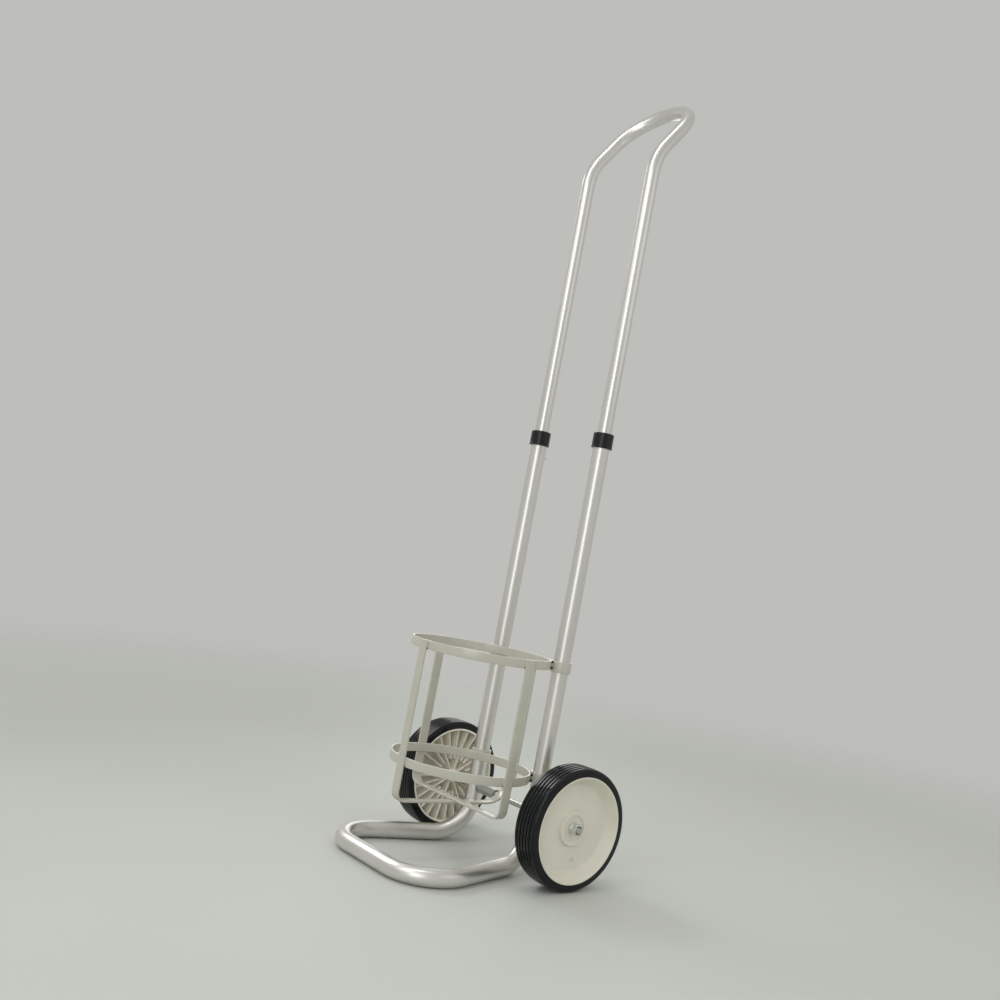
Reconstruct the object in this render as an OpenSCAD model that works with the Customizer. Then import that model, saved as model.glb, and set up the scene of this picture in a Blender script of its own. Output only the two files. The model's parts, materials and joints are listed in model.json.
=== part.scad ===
// Two-wheeled hand trolley for one gas cylinder, standing on its foot and its wheels.
// Millimetres. +X is to the right, +Y to the rear, +Z up, and the floor is z = 0.
// Heights named "along the uprights" start where an upright's axis would meet the floor.

/* [Frame] */
// Outside diameter of the frame's tube
frame_tube_d = 25; // [22:0.5:30]
// Wall of the frame's tube
frame_wall = 1.2; // [1:0.1:2]
// Distance between the axes of the uprights
upright_spacing = 144; // [130:1:160]
// Backward lean of the uprights in degrees
upright_lean = 2; // [0.5:0.5:6]
// Length along the uprights to the open top of the frame's tube
upright_length = 654; // [654:1:720]
// Distance from the wheels' axle forward to the axis of the foot's front bar
foot_reach = 231; // [200:1:270]
// Angle in degrees by which each arm of the foot turns outwards
foot_splay = 14.5; // [4:0.5:20]
// Radius of the bend between upright and foot, at the tube's axis
foot_bend_r = 60; // [45:1:65]
// Radius of the foot's front corners, at the tube's axis
foot_corner_r = 63; // [45:1:75]

/* [Handle] */
// Gap between a handle leg and the bore of its upright
slide_clearance = 0.3; // [0.15:0.05:0.5]
// Wall of the handle's tube
handle_wall = 1.5; // [1:0.1:2]
// Length of a handle leg inside its upright at full height
leg_insertion = 114; // [110:1:140]
// Straight length of a handle leg above its upright at full height
leg_above = 409; // [340:1:460]
// Radius of the backward bend, at the tube's axis
handle_bend_r = 90; // [60:1:130]
// Angle of the backward bend in degrees
handle_bend = 36; // [15:1:60]
// Straight length of tube between the backward bend and the loop
handle_rise = 44; // [10:1:90]
// Straight length of tube in the middle of the loop
grip_straight = 6; // [4:1:40]
// Length of a leg plug inside its leg
plug_length = 18; // [10:1:30]
// Thickness of a leg plug's end disc
plug_end = 3; // [2:0.5:5]
// Gap between a leg plug and the bore of its upright
plug_clearance = 0.1; // [0.05:0.05:0.2]

/* [Collars] */
// Height of a collar
collar_height = 23; // [20:1:36]
// Wall of a collar outside the frame's tube
collar_wall = 3.5; // [1.5:0.1:4]
// Thickness of the lip that covers the end of the frame's tube
collar_lip = 3; // [2:0.5:5]
// Rounding of a collar's outer edges
collar_round = 1.2; // [0.5:0.1:1.5]
// Gap between a collar's lip and the handle leg
collar_clearance = 0.15; // [0.1:0.05:0.3]

/* [Height adjustment] */
// Number of adjusting holes in each upright
hole_count = 7; // [2:1:7]
// Distance between neighbouring adjusting holes
hole_pitch = 50; // [40:1:50]
// Distance from the top of the frame's tube down to the top hole
button_below_top = 38; // [34:1:38]
// Angle in degrees by which the buttons turn inwards from straight back
button_turn = 22; // [0:1:45]
// Diameter of a button
button_d = 7.6; // [6:0.2:8]
// Gap between a button and its hole in the handle
button_clearance = 0.2; // [0.1:0.05:0.4]
// How far a button stands out of the frame's tube
button_stand_out = 3.5; // [2:0.1:5]
// Diameter of a button's flange inside the handle's leg
flange_d = 11; // [10:0.2:12]
// Thickness of a button's flange
flange_t = 1.6; // [1:0.1:2]
// Thickness of the spring strip behind a button
spring_t = 0.8; // [0.5:0.1:1]
// Width of the spring strip
spring_w = 7; // [5:0.5:8]
// Length of the spring leaf that lies on the leg's wall
spring_length = 45; // [35:1:60]

/* [Basket] */
// Inside diameter of the hoops
ring_inner_d = 204; // [190:1:216]
// Thickness of the steel strip
strip_t = 3; // [2:0.5:4]
// Height of a hoop
ring_w = 13; // [12:1:20]
// Width of a strap
strap_w = 15; // [12:1:20]
// Height along the uprights of the top hoop's upper edge
top_ring_height = 310; // [280:1:310]
// Height of the lower hoop's lower edge above the front strap's rear corner
lower_ring_rise = 1.4; // [0.2:0.1:20]
// Height along the uprights at which the cylinder stands on the crossed straps
basket_floor = 85; // [84:1:100]
// Distance from the basket's middle back to the middle of the side strap
side_strap_back = 5; // [0:0.5:7]
// Outside radius of the straps' corners
strap_corner_r = 15; // [8:1:25]
// Gap between the axle and the front strap's rear corner, which passes over it
strap_axle_gap = 1.5; // [1:0.1:4]
// Thickness of a band clamp
clamp_t = 3; // [2:0.5:4]
// Height of a band clamp
clamp_w = 16; // [13:1:20]
// Width of the neck between a band clamp and its hoop
clamp_neck_w = 16; // [10:1:22]
// Diameter of a clamp rivet's shank
rivet_d = 4; // [3:0.5:5]
// Diameter of a clamp rivet's head
rivet_head_d = 8; // [6:0.5:10]
// Height of a clamp rivet's head
rivet_head_h = 2; // [1:0.5:3]

/* [Wheels] */
// Outside diameter of the tyres
wheel_d = 175; // [160:1:190]
// Width of a tyre and of its rim
tyre_w = 42; // [36:1:44]
// Thickness of a tyre from rim to tread
tyre_t = 11.5; // [9:0.5:15]
// Radius of a tyre's shoulders
tyre_shoulder_r = 5; // [2:0.5:8]
// Number of grooves round a tread
groove_count = 5; // [3:1:5]
// Width of a tread groove
groove_w = 1.8; // [1:0.1:2]
// Depth of a tread groove
groove_depth = 1.6; // [1:0.1:2.5]
// Distance between the middles of the two tyres
wheel_track = 300; // [290:1:320]
// Thickness of a hub's rim
rim_t = 3; // [2:0.5:4]
// Width of the bright lip round a hub's face
lip_w = 2; // [1.5:0.5:3]
// Depth of a hub's flat disc below its lip
dish_depth = 16; // [11:1:19]
// Diameter of a hub's flat disc
disc_d = 124; // [110:1:130]
// Thickness of a hub's disc
web_t = 3; // [2:0.5:4]
// Diameter of the raised boss on a hub's face
face_boss_d = 50; // [44:1:60]
// Height of the raised boss on a hub's face
face_boss_h = 4; // [3:0.5:6]
// Diameter of the recess in the raised boss
recess_d = 36; // [30:1:40]
// Depth of the recess in the raised boss
recess_depth = 2; // [1:0.5:2.5]
// Diameter of the boss on a hub's inner side
inner_boss_d = 20; // [17:1:36]
// How far the inner boss stands out past the rim
inner_boss_out = 2; // [0.5:0.5:4]
// Number of ribs on a hub's inner side
rib_count = 24; // [12:3:30]
// One rib in this many reaches the inner boss
long_rib_every = 3; // [1:1:3]
// Radius at which the other ribs end
short_rib_r = 27; // [20:1:40]
// Thickness of a rib
rib_t = 2; // [1.5:0.5:3]
// Distance from the rim's edge to the ribs
rib_set_back = 3; // [1:0.5:6]

/* [Axle] */
// Diameter of the axle
axle_d = 9.5; // [8:0.5:10]
// Gap between the axle and the wheels' bushes
axle_running_gap = 0.08; // [0.05:0.01:0.1]
// Wall of a wheel's bush
bush_wall = 2; // [1.5:0.5:3]
// Outside diameter of the sleeves between uprights and wheels
spacer_d = 15; // [14:0.5:18]
// Gap between a wheel and the pieces beside it
side_gap = 0.3; // [0.2:0.1:0.5]
// Outside diameter of the washers
washer_d = 18; // [17:0.5:20]
// Thickness of the washers
washer_t = 1.6; // [1:0.1:2]
// Width across the flats of the nuts
nut_flats = 14.5; // [14:0.5:16]
// Height of the nuts' hexagons
nut_h = 8; // [6:0.5:9]
// Height of the lock nuts' round collars
nut_collar_h = 2; // [1:0.5:3]
// Diameter of the lock nuts' round collars
nut_collar_d = 12.5; // [12:0.5:14]
// How far the axle's ends stand out of the lock nuts
axle_stand_out = 2; // [1:0.5:3]
// Length of the coupling nut that joins the two axle rods
coupling_length = 30; // [20:1:30]
// Gap between the coupling nut and the left upright's nut
coupling_gap = 0.8; // [0.3:0.1:5]

/* [Fits] */
// Gap between pieces that are seated, welded or screwed together
seat_gap = 0.05; // [0.02:0.01:0.1]
// Gap round pins and rods that pass through the frame's tube
hole_gap = 0.4; // [0.2:0.05:0.5]
// Height of the faint mark that the bending tool leaves at the end of a bend
mark_h = 0.05; // [0.03:0.01:0.1]
// Width of that mark
mark_w = 2; // [1:0.5:2.5]

/* [Hidden] */
$fn = 96;

aluminium = "#c9c9c8";
beige_paint = "#afaea0";
beige_plastic = "#c3bfae";
black_plastic = "#26262b";
black_rubber = "#1d2021";
zinc = "#9aa3a2";

// Overrun of a cut past the face that it opens
cut = 1;

// Tubes
frame_r = frame_tube_d / 2;
frame_bore_r = frame_r - frame_wall;
handle_r = frame_bore_r - slide_clearance;
handle_bore_r = handle_r - handle_wall;
half_spacing = upright_spacing / 2;

// Wheels and axle, measured from the middle of the trolley
axle_z = wheel_d / 2;
axle_r = axle_d / 2;
rim_r = wheel_d / 2 - tyre_t;
wheel_x = wheel_track / 2;
bush_r = axle_r + axle_running_gap + bush_wall;
face_z = tyre_w / 2 - dish_depth;
recess_z = face_z + face_boss_h - recess_depth;
inner_boss_z = -tyre_w / 2 - inner_boss_out;
outer_washer_x = wheel_x + recess_z + side_gap;
lock_nut_x = outer_washer_x + washer_t;
axle_end_x = lock_nut_x + nut_h + nut_collar_h + axle_stand_out;
spacer_start_x = half_spacing + frame_r + seat_gap;
spacer_end_x = wheel_x + inner_boss_z - side_gap;
inner_washer_x = half_spacing - frame_r - seat_gap - washer_t;
inner_nut_x = inner_washer_x - nut_h;
coupling_offset = inner_nut_x - coupling_gap - coupling_length / 2;

// Handle loop behind the uprights, in the plane of the uprights' lean
leg_end_height = upright_length - leg_insertion;
handle_bend_height = upright_length + leg_above;
handle_loop_r = half_spacing - grip_straight / 2;
bend_back = handle_bend_r * (1 - cos(handle_bend));
bend_up = handle_bend_r * sin(handle_bend);
loop_length = handle_rise + handle_loop_r;
grip_back = bend_back + loop_length * sin(handle_bend);
grip_height = handle_bend_height + bend_up + loop_length * cos(handle_bend);

// Fore and aft: the trolley's box is centred on y = 0
grip_from_axle = grip_back * cos(upright_lean) + grip_height * sin(upright_lean) - axle_z * tan(upright_lean);
axle_y = (foot_reach + frame_r - grip_from_axle - handle_r) / 2;
base_y = axle_y - axle_z * tan(upright_lean);
front_y = axle_y - foot_reach;

// Bend between an upright and its arm of the foot, in the plane that holds both
foot_z = frame_r;
foot_base_y = base_y + foot_z * tan(upright_lean);
bend_roll = atan2(sin(upright_lean) * sin(foot_splay), cos(upright_lean));
bend_lean = asin(sin(upright_lean) * cos(foot_splay));
bend_turn = 90 - bend_lean;
bend_tangent = foot_bend_r * tan(bend_turn / 2);
arm_length = (foot_base_y - front_y) / cos(foot_splay);
corner_turn = 90 + foot_splay;
corner_tangent = foot_corner_r * tan(corner_turn / 2);
corner_x = half_spacing + arm_length * sin(foot_splay) - corner_tangent;
upright_start = foot_z / cos(upright_lean) + bend_tangent;

// Snap buttons, measured from an upright's axis
button_height = upright_length - button_below_top;
button_r = button_d / 2;
handle_hole_r = button_r + button_clearance;
frame_hole_r = button_r + hole_gap;
flange_out = sqrt(handle_bore_r * handle_bore_r - flange_d * flange_d / 4) - 3 * seat_gap;
flange_in = flange_out - flange_t;
button_out = frame_r + button_stand_out;
button_chamfer = button_stand_out / 2;
spring_wall = sqrt(handle_bore_r * handle_bore_r - spring_w * spring_w / 4) - 2 * seat_gap;

// Basket; a strap's corner is drawn in this many steps
strap_steps = 12;
ring_r = ring_inner_d / 2 + strip_t;
strap_in = ring_r + seat_gap;
strap_out = strap_in + strip_t;
basket_offset = sqrt(pow(ring_r + clamp_t + frame_r, 2) - half_spacing * half_spacing);
clamp_r = frame_r + clamp_t;
front_strap_under = basket_floor - 2 * strip_t;
side_strap_under = basket_floor - strip_t;
// The rear corner's arc is tangent to the strap's two runs and keeps its gap to the axle
axle_past_strap = basket_offset - strap_out;
axle_above_strap = axle_z / cos(upright_lean) - front_strap_under;
axle_keep_out = axle_r + strap_axle_gap;
corner_half = axle_above_strap + axle_keep_out - axle_past_strap;
corner_rest = pow(axle_past_strap, 2) + pow(axle_above_strap, 2) - pow(axle_keep_out, 2);
strap_rear_r = corner_half + sqrt(pow(corner_half, 2) - corner_rest);
lower_ring_height = front_strap_under + strap_rear_r + lower_ring_rise + ring_w;
// The upper clamps end at the top hoop's upper edge, the lower ones at the lower hoop's lower edge
upper_clamp_height = top_ring_height - clamp_w / 2;
lower_clamp_height = lower_ring_height - ring_w + clamp_w / 2;
rivet_hole_r = rivet_d / 2 + seat_gap;

// Places its children in the frame of the right upright: z runs up the upright's axis
module on_right_upright() {
    translate([half_spacing, base_y, 0]) rotate([-upright_lean, 0, 0]) children();
}

// Places its children in the basket's frame: z runs up the basket's axis
module in_basket() {
    translate([0, base_y, 0]) rotate([-upright_lean, 0, 0]) translate([0, -basket_offset, 0]) children();
}

// Turns a piece made along z so that it runs along x
module along_x() {
    rotate([0, 90, 0]) children();
}

// Puts children that are made for the right side on the left side
module on_left() {
    mirror([1, 0, 0]) children();
}

module pipe(outer_r, inner_r, length) {
    difference() {
        cylinder(r = outer_r, h = length);
        translate([0, 0, -cut]) cylinder(r = inner_r, h = length + 2 * cut);
    }
}

module pipe_bend(outer_r, inner_r, bend_r, turn) {
    rotate_extrude(angle = turn) translate([bend_r, 0]) difference() {
        circle(r = outer_r);
        circle(r = inner_r);
    }
}

// Faint mark at the end of a bend, which joins the bend to the straight tube beside it
module bend_mark(outer_r, inner_r, height) {
    translate([0, 0, height - mark_w / 2]) pipe(outer_r + mark_h, inner_r - mark_h, mark_w);
}

// Straight tube from z = 0 up, with a bend below it, above it or both
module straight(outer_r, inner_r, length, bend_below, bend_above) {
    low = bend_below ? mark_w / 4 : 0;
    high = bend_above ? mark_w / 4 : 0;
    translate([0, 0, low]) pipe(outer_r, inner_r, length - low - high);
    if (bend_below) bend_mark(outer_r, inner_r, 0);
    if (bend_above) bend_mark(outer_r, inner_r, length);
}

// Stands upright: turns a shape drawn in x and y so that x runs back and y runs up
module in_side_plane() {
    rotate([90, 0, 90]) children();
}

module frame_half() {
    on_right_upright() translate([0, 0, upright_start])
        straight(frame_r, frame_bore_r, upright_length - upright_start, true, false);
    translate([half_spacing, foot_base_y, foot_z]) rotate([0, 0, foot_splay]) {
        rotate([0, bend_roll, 0]) translate([0, -bend_tangent, foot_bend_r]) in_side_plane()
            rotate([0, 0, -90]) pipe_bend(frame_r, frame_bore_r, foot_bend_r, bend_turn);
        translate([0, -bend_tangent, 0]) rotate([90, 0, 0])
            straight(frame_r, frame_bore_r, arm_length - bend_tangent - corner_tangent, true, true);
    }
    translate([corner_x, front_y + foot_corner_r, foot_z]) rotate([0, 0, -90])
        pipe_bend(frame_r, frame_bore_r, foot_corner_r, corner_turn);
    translate([0, front_y, foot_z]) along_x() straight(frame_r, frame_bore_r, corner_x, false, true);
}

module button_hole(radius, height) {
    translate([0, 0, height]) rotate([-90, 0, button_turn]) cylinder(r = radius, h = frame_tube_d);
}

module rivet_hole(height) {
    translate([0, 0, height]) rotate([-90, 0, 0]) cylinder(r = rivet_hole_r, h = frame_tube_d);
}

module upright_holes() {
    on_right_upright() {
        for (i = [0 : hole_count - 1]) button_hole(frame_hole_r, button_height - i * hole_pitch);
        rivet_hole(upper_clamp_height);
        rivet_hole(lower_clamp_height);
    }
    translate([half_spacing - frame_tube_d, axle_y, axle_z]) along_x()
        cylinder(r = axle_r + hole_gap, h = 2 * frame_tube_d);
}

module base_frame() {
    color(aluminium) difference() {
        union() {
            frame_half();
            on_left() frame_half();
        }
        upright_holes();
        on_left() upright_holes();
    }
}

module handle_half() {
    on_right_upright() {
        difference() {
            translate([0, 0, handle_bend_height]) rotate([180, 0, 0])
                straight(handle_r, handle_bore_r, handle_bend_height - leg_end_height, true, false);
            button_hole(handle_hole_r, button_height);
        }
        translate([0, handle_bend_r, handle_bend_height]) in_side_plane() rotate([0, 0, 180 - handle_bend])
            pipe_bend(handle_r, handle_bore_r, handle_bend_r, handle_bend);
        translate([0, bend_back, handle_bend_height + bend_up]) rotate([-handle_bend, 0, 0]) {
            straight(handle_r, handle_bore_r, handle_rise, true, true);
            translate([-handle_loop_r, 0, handle_rise]) rotate([90, 0, 0])
                pipe_bend(handle_r, handle_bore_r, handle_loop_r, 90);
            translate([-half_spacing, 0, loop_length]) along_x()
                straight(handle_r, handle_bore_r, grip_straight / 2, false, true);
        }
    }
}

module handle_tube() {
    color(aluminium) {
        handle_half();
        on_left() handle_half();
    }
}

module collar() {
    top = upright_length + collar_lip;
    outer = frame_r + collar_wall;
    inner = frame_r + seat_gap;
    lip = handle_r + collar_clearance;
    on_right_upright() rotate_extrude() polygon([
        [inner, top - collar_height], [outer - collar_round, top - collar_height],
        [outer, top - collar_height + collar_round], [outer, top - collar_round],
        [outer - collar_round, top], [lip, top],
        [lip, upright_length + seat_gap], [inner, upright_length + seat_gap]
    ]);
}

module collar_right() {
    color(black_plastic) collar();
}

module collar_left() {
    color(black_plastic) on_left() collar();
}

module leg_plug() {
    on_right_upright() translate([0, 0, leg_end_height]) {
        cylinder(r = handle_bore_r - seat_gap, h = plug_length);
        translate([0, 0, -plug_end]) cylinder(r = frame_bore_r - plug_clearance, h = plug_end);
    }
}

module leg_plug_right() {
    color(black_plastic) leg_plug();
}

module leg_plug_left() {
    color(black_plastic) on_left() leg_plug();
}

// A button's profile from its axis outwards, with a chamfered tip
module snap_button() {
    on_right_upright() translate([0, 0, button_height]) rotate([-90, 0, button_turn]) rotate_extrude()
        polygon([
            [0, flange_in], [flange_d / 2, flange_in], [flange_d / 2, flange_out], [button_r, flange_out],
            [button_r, button_out - button_chamfer], [button_r - button_chamfer, button_out], [0, button_out]
        ]);
}

module snap_button_right() {
    color(zinc) snap_button();
}

module snap_button_left() {
    color(zinc) on_left() snap_button();
}

// A strip folded to a V: one leaf lies on the leg's wall, the other presses on the button's flange
module snap_spring() {
    pad = flange_d / 2;
    fold = spring_length / 2;
    back = -spring_wall;
    front = flange_in - seat_gap;
    on_right_upright() translate([0, 0, button_height]) rotate([0, 0, button_turn]) in_side_plane()
        linear_extrude(height = spring_w, center = true) polygon([
            [back, -fold], [back, fold - spring_t], [back + 2 * spring_t, fold + spring_t],
            [front, pad], [front, -pad], [front - spring_t, -pad], [front - spring_t, pad - spring_t],
            [back + 2 * spring_t, fold - spring_t], [back + spring_t, fold - 2 * spring_t],
            [back + spring_t, -fold]
        ]);
}

module snap_spring_right() {
    color(zinc) snap_spring();
}

module snap_spring_left() {
    color(zinc) on_left() snap_spring();
}

module hoop(upper_edge) {
    in_basket() translate([0, 0, upper_edge - ring_w]) pipe(ring_r, ring_inner_d / 2, ring_w);
}

module top_ring() {
    color(beige_paint) hoop(top_ring_height);
}

module lower_ring() {
    color(beige_paint) hoop(lower_ring_height);
}

// Points of an arc in the strap's plane, round the given centre
function strap_arc(centre_y, centre_z, radius, from_angle, to_angle) = [
    for (i = [0 : strap_steps])
        let (angle = from_angle + (to_angle - from_angle) * i / strap_steps)
            [centre_y + radius * cos(angle), centre_z + radius * sin(angle)]
];

// Side outline of a U-shaped strap; under is the height of its lower face
function strap_outline(under, front_r, rear_r) = concat(
    [[-strap_out, top_ring_height]],
    strap_arc(front_r - strap_out, under + front_r, front_r, 180, 270),
    strap_arc(strap_out - rear_r, under + rear_r, rear_r, 270, 360),
    [[strap_out, top_ring_height], [strap_in, top_ring_height]],
    strap_arc(strap_out - rear_r, under + rear_r, rear_r - strip_t, 360, 270),
    strap_arc(front_r - strap_out, under + front_r, front_r - strip_t, 270, 180),
    [[-strap_in, top_ring_height]]
);

// U-shaped strap, along y unless turned, at a distance back from the basket's middle
module strap(under, front_r, rear_r, turn, back) {
    in_basket() translate([0, back, 0]) rotate([0, 0, turn]) in_side_plane()
        linear_extrude(height = strap_w, center = true) polygon(strap_outline(under, front_r, rear_r));
}

module front_strap() {
    color(beige_paint) strap(front_strap_under, strap_corner_r, strap_rear_r, 0, 0);
}

module side_strap() {
    color(beige_paint) strap(side_strap_under, strap_corner_r, strap_corner_r, 90, side_strap_back);
}

// Band round the right upright with a neck to the hoop, about the height of its rivet
module band_clamp(height) {
    neck_turn = atan2(basket_offset, half_spacing);
    on_right_upright() difference() {
        translate([0, 0, height]) linear_extrude(height = clamp_w, center = true) difference() {
            union() {
                circle(r = clamp_r);
                rotate(180 + neck_turn) translate([0, -clamp_neck_w / 2])
                    square([clamp_r + clamp_t, clamp_neck_w]);
            }
            circle(r = frame_r + seat_gap);
            translate([-half_spacing, -basket_offset]) circle(r = ring_r + seat_gap);
        }
        rivet_hole(height);
    }
}

module upper_clamp_right() {
    color(beige_paint) band_clamp(upper_clamp_height);
}

module upper_clamp_left() {
    color(beige_paint) on_left() band_clamp(upper_clamp_height);
}

module lower_clamp_right() {
    color(beige_paint) band_clamp(lower_clamp_height);
}

module lower_clamp_left() {
    color(beige_paint) on_left() band_clamp(lower_clamp_height);
}

module rivet(height) {
    on_right_upright() translate([0, 0, height]) rotate([-90, 0, 0]) {
        translate([0, 0, frame_bore_r + seat_gap]) cylinder(d = rivet_d, h = clamp_r - frame_bore_r);
        translate([0, 0, clamp_r + seat_gap]) cylinder(d = rivet_head_d, h = rivet_head_h);
    }
}

module clamp_rivets() {
    color(beige_paint) for (height = [upper_clamp_height, lower_clamp_height]) {
        rivet(height);
        on_left() rivet(height);
    }
}

// Places a piece made along z on the axle's line, starting at the given x
module on_axle(x) {
    translate([x, axle_y, axle_z]) along_x() children();
}

module axle_right() {
    color(zinc) on_axle(seat_gap - coupling_offset)
        cylinder(r = axle_r, h = axle_end_x + coupling_offset - seat_gap);
}

module axle_left() {
    color(zinc) on_axle(-axle_end_x) cylinder(r = axle_r, h = axle_end_x - coupling_offset - seat_gap);
}

module hex_nut(height) {
    difference() {
        cylinder(d = nut_flats / cos(30), h = height, $fn = 6);
        translate([0, 0, -cut]) cylinder(r = axle_r + seat_gap, h = height + 2 * cut);
    }
}

module axle_coupling() {
    color(zinc) on_axle(-coupling_offset - coupling_length / 2) hex_nut(coupling_length);
}

module flat_washer() {
    pipe(washer_d / 2, axle_r + seat_gap, washer_t);
}

module inner_washers() {
    color(zinc) {
        on_axle(inner_washer_x) flat_washer();
        on_left() on_axle(inner_washer_x) flat_washer();
    }
}

module inner_nuts() {
    color(zinc) {
        on_axle(inner_nut_x) hex_nut(nut_h);
        on_left() on_axle(inner_nut_x) hex_nut(nut_h);
    }
}

module spacer() {
    on_axle(spacer_start_x) pipe(spacer_d / 2, axle_r + seat_gap, spacer_end_x - spacer_start_x);
}

module spacer_right() {
    color(zinc) spacer();
}

module spacer_left() {
    color(zinc) on_left() spacer();
}

module washer_outer_right() {
    color(zinc) on_axle(outer_washer_x) flat_washer();
}

module washer_outer_left() {
    color(zinc) on_left() on_axle(outer_washer_x) flat_washer();
}

module lock_nut() {
    on_axle(lock_nut_x) {
        hex_nut(nut_h);
        translate([0, 0, nut_h]) pipe(nut_collar_d / 2, axle_r + seat_gap, nut_collar_h);
    }
}

module lock_nut_right() {
    color(zinc) lock_nut();
}

module lock_nut_left() {
    color(zinc) on_left() lock_nut();
}

// Dished wheel body with a rim, a face boss, an inner boss and radial ribs
module hub() {
    rim_in = rim_r - rim_t;
    rim_z = tyre_w / 2;
    web_z = face_z - web_t;
    lip_in = rim_r - lip_w;
    rib_out = rim_in + rim_t / 2;
    on_axle(wheel_x) {
        rotate_extrude() polygon([
            [bush_r + seat_gap, inner_boss_z], [inner_boss_d / 2, inner_boss_z], [inner_boss_d / 2, web_z],
            [disc_d / 2, web_z], [rim_in, rim_z - 2 * rim_t], [rim_in, -rim_z], [rim_r, -rim_z],
            [rim_r, rim_z], [lip_in, rim_z], [lip_in, rim_z - lip_w / 2], [disc_d / 2, face_z],
            [face_boss_d / 2, face_z],
            [face_boss_d / 2, face_z + face_boss_h], [recess_d / 2, face_z + face_boss_h],
            [recess_d / 2, recess_z], [bush_r + seat_gap, recess_z]
        ]);
        for (i = [1 : rib_count]) {
            rib_in = i % long_rib_every == 0 ? inner_boss_d / 2 - rib_t : short_rib_r;
            rotate((i - 1) * 360 / rib_count) translate([rib_in, -rib_t / 2, rib_set_back - rim_z])
                cube([rib_out - rib_in, rib_t, web_z + web_t / 2 + rim_z - rib_set_back]);
        }
    }
}

module hub_right() {
    color(beige_plastic) hub();
}

module hub_left() {
    color(beige_plastic) on_left() hub();
}

module bush() {
    on_axle(wheel_x + inner_boss_z) pipe(bush_r, axle_r + axle_running_gap, recess_z - inner_boss_z);
}

module bush_right() {
    color(zinc) bush();
}

module bush_left() {
    color(zinc) on_left() bush();
}

// Points of a shoulder's quarter arc round (x, y), from start_angle upwards
function shoulder(x, y, start_angle) = [
    for (step = [0 : 15 : 90])
        [x + tyre_shoulder_r * cos(start_angle + step), y + tyre_shoulder_r * sin(start_angle + step)]
];

module tyre() {
    tread_r = wheel_d / 2;
    side_z = tyre_w / 2;
    tread_w = tyre_w - 2 * tyre_shoulder_r;
    groove_pitch = tread_w / groove_count;
    on_axle(wheel_x) rotate_extrude() difference() {
        polygon(concat(
            [[rim_r + seat_gap, side_z], [rim_r + seat_gap, -side_z]],
            shoulder(tread_r - tyre_shoulder_r, tyre_shoulder_r - side_z, -90),
            shoulder(tread_r - tyre_shoulder_r, side_z - tyre_shoulder_r, 0)
        ));
        for (i = [0 : groove_count - 1])
            translate([tread_r - groove_depth, (i + 0.5) * groove_pitch - tread_w / 2 - groove_w / 2])
                square([groove_depth + cut, groove_w]);
    }
}

module tyre_right() {
    color(black_rubber) tyre();
}

module tyre_left() {
    color(black_rubber) on_left() tyre();
}

base_frame();
handle_tube();
collar_left();
collar_right();
leg_plug_left();
leg_plug_right();
snap_button_left();
snap_button_right();
snap_spring_left();
snap_spring_right();
top_ring();
lower_ring();
front_strap();
side_strap();
upper_clamp_left();
upper_clamp_right();
lower_clamp_left();
lower_clamp_right();
clamp_rivets();
axle_left();
axle_right();
axle_coupling();
inner_washers();
inner_nuts();
spacer_left();
spacer_right();
hub_left();
hub_right();
bush_left();
bush_right();
tyre_left();
tyre_right();
washer_outer_left();
washer_outer_right();
lock_nut_left();
lock_nut_right();
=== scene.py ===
"""Dresses the gas cylinder trolley, its tubes, basket, wheels and fasteners, and sets up its studio."""

import json
import math

import bmesh
import bpy
from mathutils import Matrix, Vector, noise


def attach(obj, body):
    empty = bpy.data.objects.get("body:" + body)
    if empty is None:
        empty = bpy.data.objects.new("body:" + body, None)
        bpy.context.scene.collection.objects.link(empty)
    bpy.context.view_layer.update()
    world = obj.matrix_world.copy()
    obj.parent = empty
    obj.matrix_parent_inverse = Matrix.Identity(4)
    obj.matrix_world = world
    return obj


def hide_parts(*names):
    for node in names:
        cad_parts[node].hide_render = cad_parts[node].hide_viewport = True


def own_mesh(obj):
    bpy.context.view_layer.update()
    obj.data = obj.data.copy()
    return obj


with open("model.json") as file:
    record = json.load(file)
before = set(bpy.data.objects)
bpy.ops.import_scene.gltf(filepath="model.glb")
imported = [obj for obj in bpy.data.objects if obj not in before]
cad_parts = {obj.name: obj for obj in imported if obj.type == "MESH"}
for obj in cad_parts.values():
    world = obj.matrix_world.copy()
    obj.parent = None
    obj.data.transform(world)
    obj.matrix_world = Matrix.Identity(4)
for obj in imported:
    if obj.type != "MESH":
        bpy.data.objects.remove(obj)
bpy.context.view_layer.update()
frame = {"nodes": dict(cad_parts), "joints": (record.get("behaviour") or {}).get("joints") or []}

# One millimetre in metres, the unit of the scene
MM = 0.001

# Angles, and sizes in millimetres, of the frame, the handle and its buttons, as in the part's source
LEAN = math.radians(2)
HALF_SPACING = 72
SEAT_GAP = 0.05
SIDE_GAP = 0.3
FRAME_R = 12.5
FRAME_BORE_R = 11.3
UPRIGHT_LENGTH = 654
FOOT_REACH = 231
FOOT_SPLAY = math.radians(14.5)
FOOT_BEND_R = 60
FOOT_CORNER_R = 63
HANDLE_R = 11
HANDLE_BORE_R = 9.5
LEG_END = 540
HANDLE_BEND_START = 1063
HANDLE_BEND_R = 90
HANDLE_BEND = math.radians(36)
HANDLE_RISE = 44
LOOP_R = 69
COLLAR_H = 23
COLLAR_OVER = 3
COLLAR_GAP = 0.15
HOLE_PITCH = 50
HOLE_COUNT = 7
FRAME_HOLE_R = 4.2
HANDLE_HOLE_R = 4
BUTTON_HEIGHT = 616
BUTTON_TURN = math.radians(22)
PIN_R = 3.8
PIN_TIP = 16
FLANGE_R = 5.5
FLANGE_IN = 6
SPRING_T = 0.8
SPRING_W = 7
SPRING_HALF = 22.5

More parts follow.
